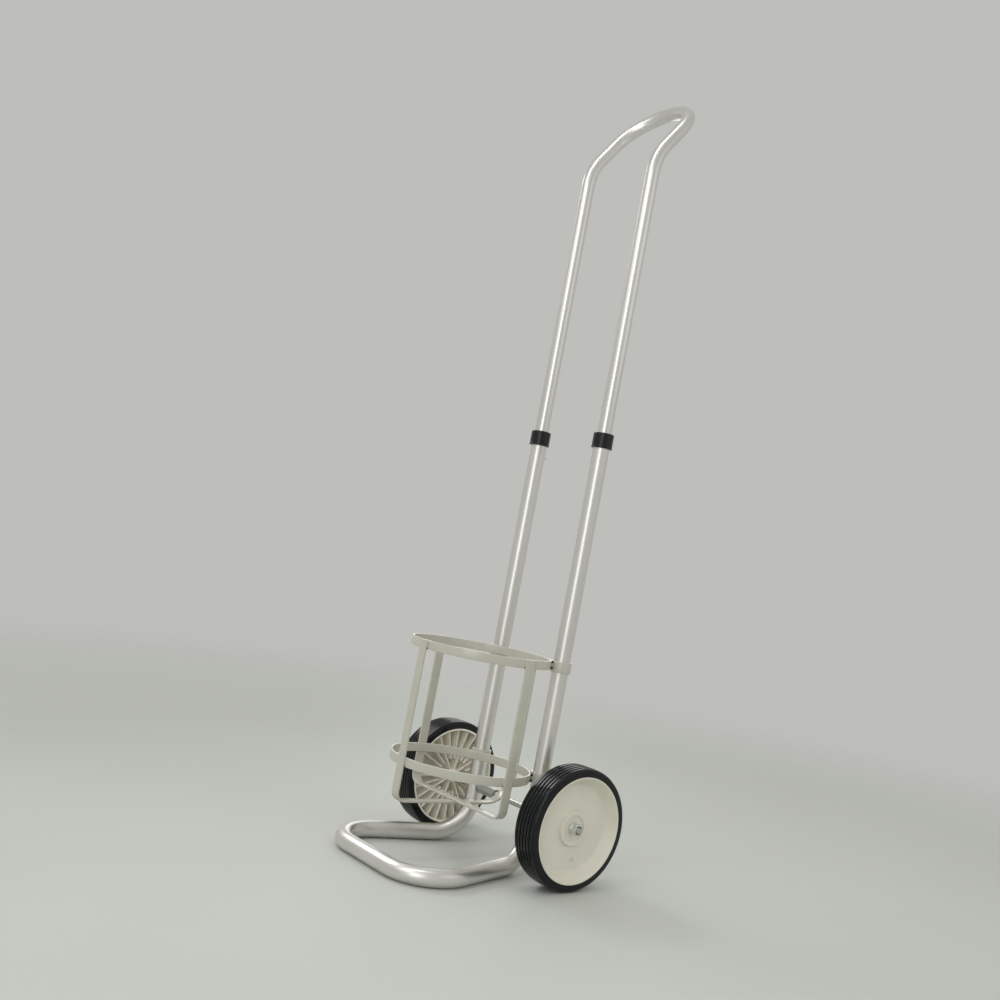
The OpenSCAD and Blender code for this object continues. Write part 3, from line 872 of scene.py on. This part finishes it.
def clamp_welds():
    """Weld seams in the creases between hoops and right clamps' necks, and dark spots of painted shade at
    their ends.
    """
    to_upright = Vector((HALF_SPACING, BASKET_OFFSET, 0)).normalized()
    beside = Vector((to_upright.y, -to_upright.x, 0))
    seam_half = Vector((0, 0, 2.6))
    shade_spot_start = Vector((0, 0, 3))
    shade_spot_end = Vector((0, 0, 6))
    crease_r = RING_R + 1
    crease_side = NECK_HALF + 0.6
    slant = 0.3
    seams = []
    points = []
    for upper in (TOP_RING, LOWER_RING):
        for side in (-1, 1):
            out = (beside * side + to_upright * slant).normalized()
            middle = to_upright * crease_r + beside * side * crease_side
            middle.z = upper - RING_W / 2
            low = middle - seam_half
            high = middle + seam_half
            seams.append(bead("seam", low, high, out, BASKET, width=4, height=1.8))
            # Dark spots of painted shade in the open crease above and below the seam
            for way in (-1, 1):
                start = middle + shade_spot_start * way
                end = middle + shade_spot_end * way
                points.append(bead("point", start, end, out, BASKET, width=3.6, height=1.2))
    return seams, points


def band_clamp(name, node, middle):
    """Band round the right upright with a neck to the hoop, as one painted piece."""
    low = middle - CLAMP_W / 2
    upper = middle + CLAMP_W / 2
    seat_r = FRAME_R + SEAT_GAP
    outer = FRAME_R + CLAMP_T
    outline = fillet([(seat_r, low, 0.5), (outer, low, 0.8), (outer, upper, 0.8), (seat_r, upper, 0.5)])
    band = lathe(name, outline, RIGHT_UPRIGHT, segments=72)
    neck_place = on_upright(0, math.atan2(-BASKET_OFFSET, -HALF_SPACING))
    inset = 0.3
    neck_low = low + inset
    neck_upper = upper - inset
    root_r = FRAME_R + 1.2
    rows = 9
    points = []
    for k in range(rows):
        across = NECK_HALF * (2 * k / (rows - 1) - 1)
        near = math.sqrt(root_r ** 2 - across ** 2)
        far = UPRIGHT_DISTANCE - math.sqrt((RING_R + SEAT_GAP) ** 2 - across ** 2)
        for along, height in ((near, neck_low), (far, neck_low), (far, neck_upper), (near, neck_upper)):
            points.append(neck_place @ Vector((along, across, height)))
    neck = make_object("neck", points, capped_faces(rows, 4))
    finish_pair(join(name, [band, neck]), paint, "frame", "beige_paint", node)


def rivets():
    """Dome-headed rivets at the back of the clamps."""
    inside = FRAME_BORE_R + SEAT_GAP
    base = FRAME_R + CLAMP_T + SEAT_GAP
    edge = base + RIVET_EDGE_H
    outline = [(AXIS_R, inside), (RIVET_R, inside), (RIVET_R, base)]
    outline += [(RIVET_HEAD_R, base), (RIVET_HEAD_R, edge)]
    outline += dome(RIVET_HEAD_R, edge, RIVET_HEAD_H - RIVET_EDGE_H, range(10, 90, 10))
    outline.append((AXIS_R, base + RIVET_HEAD_H))
    heads = []
    for height in (UPPER_CLAMP, LOWER_CLAMP):
        head = lathe("head", outline, on_upright(height) @ Z_TO_Y, segments=40, sharp=40)
        heads += [head, mirrored(head, "head_left")]
    finish_piece(join("clamp_rivet_heads", heads), paint, "frame", "beige_paint", "clamp_rivets")


def welds():
    """All weld beads in paint, and the dark spots of painted shade beside them."""
    front_beads, front_shade_spots = strap_welds(BASKET, 0)
    side_beads, side_shade_spots = strap_welds(SIDE_STRAP, SIDE_STRAP_BACK)
    basket_welds = join("basket_welds", front_beads + side_beads)
    basket_shade_spots = join("basket_painted_shade_spots", front_shade_spots + side_shade_spots)
    right_seams, right_shade_spots = clamp_welds()
    seams = join("clamp_welds_right", right_seams)
    points = join("clamp_weld_points_right", right_shade_spots)
    finish_piece(basket_welds, paint, "frame", "beige_paint")
    finish_pair(seams, paint, "frame", "beige_paint")
    # The dark spots paint the shade in the gaps beside the welds
    finish_piece(basket_shade_spots, painted_shade_spots, "frame", "beige_paint")
    finish_pair(points, painted_shade_spots, "frame", "beige_paint")


hoops()
strap("strap_front_rear", "front_strap", FRONT_STRAP_UNDER, STRAP_REAR_R, BASKET)
strap("strap_left_right", "side_strap", SIDE_STRAP_UNDER, STRAP_CORNER_R, SIDE_STRAP)
welds()
band_clamp("band_upper_right", "upper_clamp_right", UPPER_CLAMP)
band_clamp("band_lower_right", "lower_clamp_right", LOWER_CLAMP)
rivets()


# Wheels

def hub_body():
    """Disc, rim and bosses as one turned outline, with draft where they leave the mould."""
    dish_back = 15
    outline = fillet([
        (BUSH_R, INNER_BOSS_END, 0.4),
        (INNER_BOSS_R, INNER_BOSS_END, 0.8),
        (INNER_BOSS_R, WEB_BACK, 1.2),
        (DISC_R, WEB_BACK, 2.5),
        (RIM_IN_R, dish_back, 1.5),
        (RIM_IN_R, -RIM_HALF, 0.8),
        (RIM_R, -RIM_HALF, 0.5),
        (RIM_R, RIM_HALF, 0.5),
        (RIM_R - LIP_W, RIM_HALF, 0.7),
        (RIM_IN_R - 0.4, RIM_HALF - 2, 0.6),
        (DISC_R, FACE, 5),
        (BOSS_R + 0.6, FACE, 1.2),
        (BOSS_R - 0.4, BOSS_FACE, 1.2),
        (RECESS_R + 0.6, BOSS_FACE, 0.8),
        (RECESS_R, RECESS_FACE, 0.6),
        (BUSH_R, RECESS_FACE, 0.3),
    ], steps=6)
    return lathe("hub_body", outline, RIGHT_WHEEL, segments=144, sharp=40)


def rib(angle, inner_r):
    """One radial rib from inner_r to the rim, thinner at its free edge, with a rounded edge."""
    stations = 10
    hollow = 1.2
    root_half = 1.15
    edge_half = 0.85
    tip_half = 0.4
    turn = Matrix.Rotation(angle, 4, "Z")
    points = []
    for i in range(stations + 1):
        share = i / stations
        radius = inner_r + (RIB_END_R - inner_r) * share
        edge = RIB_EDGE + hollow * math.sin(math.pi * share) ** 2
        side = [(root_half, RIB_TOP), (edge_half, edge + 0.7), (tip_half, edge + 0.1)]
        section = [(-across, along) for across, along in side] + side[::-1]
        for across, along in section:
            points.append(RIGHT_WHEEL @ (turn @ Vector((radius, across, along))))
    return make_object("rib", points, capped_faces(stations + 1, len(section)))


def gate_mark():
    """Small raised gate mark with a dimple, on the hub's face."""
    angle = math.radians(10)
    radius = 45
    spot = RIGHT_WHEEL @ Matrix.Translation((radius * math.cos(angle), radius * math.sin(angle), FACE))
    root = -0.3
    rise = 0.2
    top_out_r = 2.8
    top_in_r = 2
    dimple_r = 1.7
    soft = 0.2
    outline = [(AXIS_R, root), (MARK_R, root)]
    corners = [(MARK_R, rise, 0), (top_out_r, MARK_H, soft), (top_in_r, MARK_H, soft), (dimple_r, rise, soft)]
    outline += fillet(corners, steps=3)
    outline.append((AXIS_R, rise))
    return lathe("mark", outline, spot, segments=36, sharp=50)


def tyre_outline():
    """Section of a tyre: crowned tread with rounded grooves, soft shoulders and a bead line at the rim."""
    soft = 0.3
    half = TYRE_W / 2
    side = half - 0.3
    seat_r = RIM_R + SEAT_GAP
    bead_r = RIM_R + 3
    wall_r = bead_r + 0.4
    edge_r = TYRE_R - 0.5
    deep_r = TYRE_R - 2
    shoulder = SHOULDER_R - 0.3
    mouth = 1
    bottom = 0.6
    crown = 0.3
    pitch = (TYRE_W - 2 * SHOULDER_R) / GROOVES
    corners = [(seat_r, half, soft), (seat_r, -half, soft), (bead_r, -half, soft)]
    corners += [(wall_r, -side, soft), (edge_r, -side, shoulder)]
    for i in range(GROOVES):
        middle = (i + 0.5 - GROOVES / 2) * pitch
        corners += [(edge_r, middle - mouth, soft), (deep_r, middle - bottom, soft)]
        corners += [(deep_r, middle + bottom, soft), (edge_r, middle + mouth, soft)]
        if i < GROOVES - 1:
            for share in (-0.7, -0.4, 0, 0.4, 0.7):
                along = middle + pitch / 2 + share * (pitch / 2 - mouth)
                corners.append((TYRE_R - crown * share ** 2, along, 0))
    corners += [(edge_r, side, shoulder), (wall_r, side, soft), (bead_r, half, soft)]
    return fillet(corners)


def wheels():
    """Both wheels: ribbed hubs and grooved tyres."""
    pieces = [hub_body()]
    for i in range(RIB_COUNT):
        is_long = i % LONG_RIB_EVERY == LONG_RIB_EVERY - 1
        pieces.append(rib(2 * math.pi * i / RIB_COUNT, LONG_RIB_R if is_long else SHORT_RIB_R))
    pieces.append(gate_mark())
    hub = join("wheel_hub_right", pieces)
    finish_pair(hub, hub_plastic, "right_wheel", "beige_plastic", "hub_right")
    tyre = lathe("tyre_tread_right", tyre_outline(), RIGHT_WHEEL, segments=192, sharp=40)
    finish_pair(tyre, rubber, "right_wheel", "tyre_rubber", "tyre_right")


wheels()


# Axle and fasteners

def hex_nut(name, start, height, chamfer_start):
    """Hexagon nut on the axle with turned chamfers; chamfer_start says if its first face has them too."""
    steps = 72
    flat_r = NUT_FLATS / 2
    face_r = flat_r * 0.97
    slope = math.tan(math.radians(30))
    inner = AXLE_R + SEAT_GAP
    chamfer = 0.5
    end = start + height
    points = []
    for i in range(steps):
        angle = 2 * math.pi * i / steps
        corner = (angle + math.pi / 6) % (math.pi / 3) - math.pi / 6
        radius = flat_r / math.cos(corner)
        drop = (radius - face_r) * slope
        low = start + (drop if chamfer_start else 0)
        section = [(inner + chamfer, start), (face_r, start), (radius, low), (radius, end - drop)]
        section += [(face_r, end), (inner + chamfer, end), (inner, end - chamfer), (inner, start + chamfer)]
        for out, along in section:
            points.append(AXLE @ Vector((out * math.cos(angle), out * math.sin(angle), along)))
    return make_object(name, points, turned_faces(steps, len(section)), sharp=20)


def rod(name, place, start):
    """Axle rod with a chamfered end and a thread from the outer washer to that end."""
    root_r = AXLE_R - THREAD_DEPTH
    crest_r = AXLE_R - 0.03
    root_start = 0.45
    root_end = 0.65
    crest = 1.1
    chamfer = 0.8
    plain_end = 1
    outline = [(AXIS_R, start), (AXLE_R, start), (AXLE_R, END_WASHER_X)]
    for i in range(int((AXLE_END_X - END_WASHER_X - plain_end) / THREAD_PITCH)):
        along = END_WASHER_X + i * THREAD_PITCH
        outline += [(root_r, along + root_start), (root_r, along + root_end), (crest_r, along + crest)]
    outline += [(crest_r, AXLE_END_X - chamfer), (AXLE_R - chamfer, AXLE_END_X), (AXIS_R, AXLE_END_X)]
    return lathe(name, outline, place, segments=48, sharp=25)


def ring(name, inner_r, outer_r, start, end, soft, segments=64):
    """Flat ring or sleeve on the right end of the axle, with softened edges."""
    inner_soft = 0.2
    outline = [(inner_r, start, inner_soft), (outer_r, start, soft), (outer_r, end, soft)]
    outline.append((inner_r, end, inner_soft))
    return lathe(name, fillet(outline, steps=4), AXLE, segments)


def fasteners():
    """Axle rods, coupling nut, nuts, washers and sleeves."""
    bore_r = AXLE_R + SEAT_GAP
    washer = ring("end_washer_right", bore_r, WASHER_R, END_WASHER_X, LOCK_NUT_X, soft=0.4)
    finish_pair(washer, zinc, "frame", "zinc", "washer_outer_right")

    nut_end = LOCK_NUT_X + NUT_H
    nut = hex_nut("nut", LOCK_NUT_X, NUT_H, chamfer_start=False)
    crimp_root = nut_end - 0.3
    crimp_end = nut_end + NUT_COLLAR_H
    crimp = ring("crimp", CRIMP_BORE_R, CRIMP_R, crimp_root, crimp_end, soft=0.35)
    finish_pair(join("end_nut_right", [nut, crimp]), zinc, "frame", "zinc", "lock_nut_right")
    insert_r = CRIMP_BORE_R - 0.02
    insert_root = nut_end - 0.2
    insert_end = nut_end + INSERT_H
    insert = ring("nut_insert_right", bore_r, insert_r, insert_root, insert_end, soft=0.2, segments=48)
    finish_pair(insert, insert_nylon, "frame", "zinc")

    joint_x = COUPLING_START_X + COUPLING_LENGTH / 2
    right = rod("rod_right", AXLE, joint_x + SEAT_GAP)
    left = rod("rod_left", MIRROR @ AXLE, SEAT_GAP - joint_x)
    finish_piece(right, rod_steel, "frame", "zinc", "axle_right")
    finish_piece(left, rod_steel, "frame", "zinc", "axle_left")

    coupling = hex_nut("coupling_nut", COUPLING_START_X, COUPLING_LENGTH, chamfer_start=True)
    finish_piece(coupling, rod_steel, "frame", "zinc", "axle_coupling")
    nut = hex_nut("inner_nut", INNER_NUT_X, NUT_H, chamfer_start=True)
    nuts = join("upright_nuts", [nut, mirrored(nut, "inner_nut_left")])
    finish_piece(nuts, rod_steel, "frame", "zinc", "inner_nuts")
    washer = ring("inner_washer", bore_r, WASHER_R, INNER_WASHER_X, INNER_WASHER_X + WASHER_T, soft=0.4)
    washers = join("upright_washers", [washer, mirrored(washer, "inner_washer_left")])
    finish_piece(washers, rod_steel, "frame", "zinc", "inner_washers")

    sleeve_start = HALF_SPACING + FRAME_R + SEAT_GAP
    sleeve_end = WHEEL_X + INNER_BOSS_END - SIDE_GAP
    sleeve = ring("sleeve_right", bore_r, SLEEVE_R, sleeve_start, sleeve_end, soft=0.5)
    finish_pair(sleeve, zinc, "frame", "zinc", "spacer_right")


fasteners()

# Solids that keep their own shape and take a new surface
for node, material in (
    ("leg_plug_left", black_plastic),
    ("leg_plug_right", black_plastic),
    ("bush_left", bush_nylon),
    ("bush_right", bush_nylon),
):
    slots = frame["nodes"][node].data.materials
    slots.clear()
    slots.append(material)


# Studio

def floor_plane():
    """Pale floor that fades out away from the trolley."""
    size = 30
    fade_start = 1.0
    fade_end = 2.6
    mesh = bpy.data.meshes.new("floor")
    corners = [(-size, -size, 0), (size, -size, 0), (size, size, 0), (-size, size, 0)]
    mesh.from_pydata(corners, [], [(0, 1, 2, 3)])
    floor = bpy.data.objects.new("floor", mesh)
    bpy.context.scene.collection.objects.link(floor)
    material, shader = new_material("pale_floor")
    cloud = grain(material, scale=1.5, detail=3)
    vary(material, shader, "Base Color", cloud, srgb(180, 183, 177), srgb(183, 186, 180))
    shader.inputs["Roughness"].default_value = 0.55
    shader.inputs["Specular IOR Level"].default_value = 0.2
    place = add_node(material, "ShaderNodeTexCoord")
    distance = add_node(material, "ShaderNodeVectorMath")
    distance.operation = "LENGTH"
    fade = add_node(material, "ShaderNodeMapRange", From_Min=fade_start, From_Max=fade_end)
    fade.interpolation_type = "SMOOTHSTEP"
    clear = add_node(material, "ShaderNodeBsdfTransparent")
    mix = add_node(material, "ShaderNodeMixShader")
    link(material, place.outputs["Object"], distance.inputs[0])
    link(material, distance.outputs["Value"], fade.inputs["Value"])
    link(material, fade.outputs["Result"], mix.inputs["Fac"])
    link(material, shader.outputs["BSDF"], mix.inputs[1])
    link(material, clear.outputs["BSDF"], mix.inputs[2])
    link(material, mix.outputs["Shader"], material.node_tree.nodes["Material Output"].inputs["Surface"])
    mesh.materials.append(material)


def surroundings():
    """Even light from all round, and the wall's tone where the camera, gloss or clear pieces see it."""
    world = bpy.data.worlds.new("surroundings")
    world.use_nodes = True
    nodes = world.node_tree.nodes
    links = world.node_tree.links
    light = nodes["Background"]
    light.inputs["Color"].default_value = srgb(236, 236, 234)
    seen = nodes.new("ShaderNodeBackground")
    seen.inputs["Color"].default_value = srgb(190, 190, 186)
    rays = nodes.new("ShaderNodeLightPath")
    mix = nodes.new("ShaderNodeMixShader")
    total = rays.outputs["Is Camera Ray"]
    for kind in ("Is Glossy Ray", "Is Transmission Ray"):
        either = nodes.new("ShaderNodeMath")
        either.operation = "MAXIMUM"
        links.new(total, either.inputs[0])
        links.new(rays.outputs[kind], either.inputs[1])
        total = either.outputs["Value"]
    links.new(total, mix.inputs["Fac"])
    links.new(light.outputs["Background"], mix.inputs[1])
    links.new(seen.outputs["Background"], mix.inputs[2])
    links.new(mix.outputs["Shader"], nodes["World Output"].inputs["Surface"])
    bpy.context.scene.world = world


def lamps():
    """Soft lamps; the left one's narrow spread keeps it on the wheels and off the handle."""
    for name, place, aim, width, height, power, spread in (
        ("tube", (0.1, -1.5, 2.8), (0.1, -1.49, 0), 0.32, 3, 13, 180),
        ("high_front", (0.2, -2.6, 2.4), (0, 0, 0.4), 1.8, 1.2, 6, 180),
        ("strip", (1.53, -2.19, 1.25), (0, 0, 1.1), 1.1, 2.2, 11.4, 180),
        ("left", (-1.7, -0.4, 1.75), (0.15, 0, 0.1), 1.8, 0.4, 1.3, 42),
        ("side", (2.0, 0.9, 1.5), (0, 0.1, 1.1), 1.6, 1, 1.6, 180),
        ("rear", (-2.02, 1.7, 1.35), (0, 0, 1.2), 0.7, 2, 4.6, 180),
    ):
        lamp = bpy.data.lights.new(name, "AREA")
        lamp.shape = "RECTANGLE"
        lamp.size = width
        lamp.size_y = height
        lamp.energy = power
        lamp.spread = math.radians(spread)
        holder = bpy.data.objects.new(name, lamp)
        holder.location = place
        holder.rotation_euler = (Vector(aim) - Vector(place)).to_track_quat("-Z", "Y").to_euler()
        bpy.context.scene.collection.objects.link(holder)


def camera():
    """Camera at the photograph's place; its roll is the lean at which the trolley was photographed."""
    place = Vector((1.28575, -1.08173, 0.46352))
    forward = Vector((-0.77793, 0.62697, 0.04162)).normalized()
    right = Vector((0.62458, 0.76434, 0.16027))
    data = bpy.data.cameras.new("camera")
    data.sensor_width = 36
    data.lens = 40.09
    data.clip_end = 100
    holder = bpy.data.objects.new("camera", data)
    bpy.context.scene.collection.objects.link(holder)
    right = (right - forward * right.dot(forward)).normalized()
    up = right.cross(forward)
    axes = Matrix((right, up, -forward)).transposed().to_4x4()
    holder.matrix_world = Matrix.Translation(place) @ axes
    bpy.context.scene.camera = holder


floor_plane()
surroundings()
lamps()
camera()
bpy.context.scene.view_settings.view_transform = "Standard"
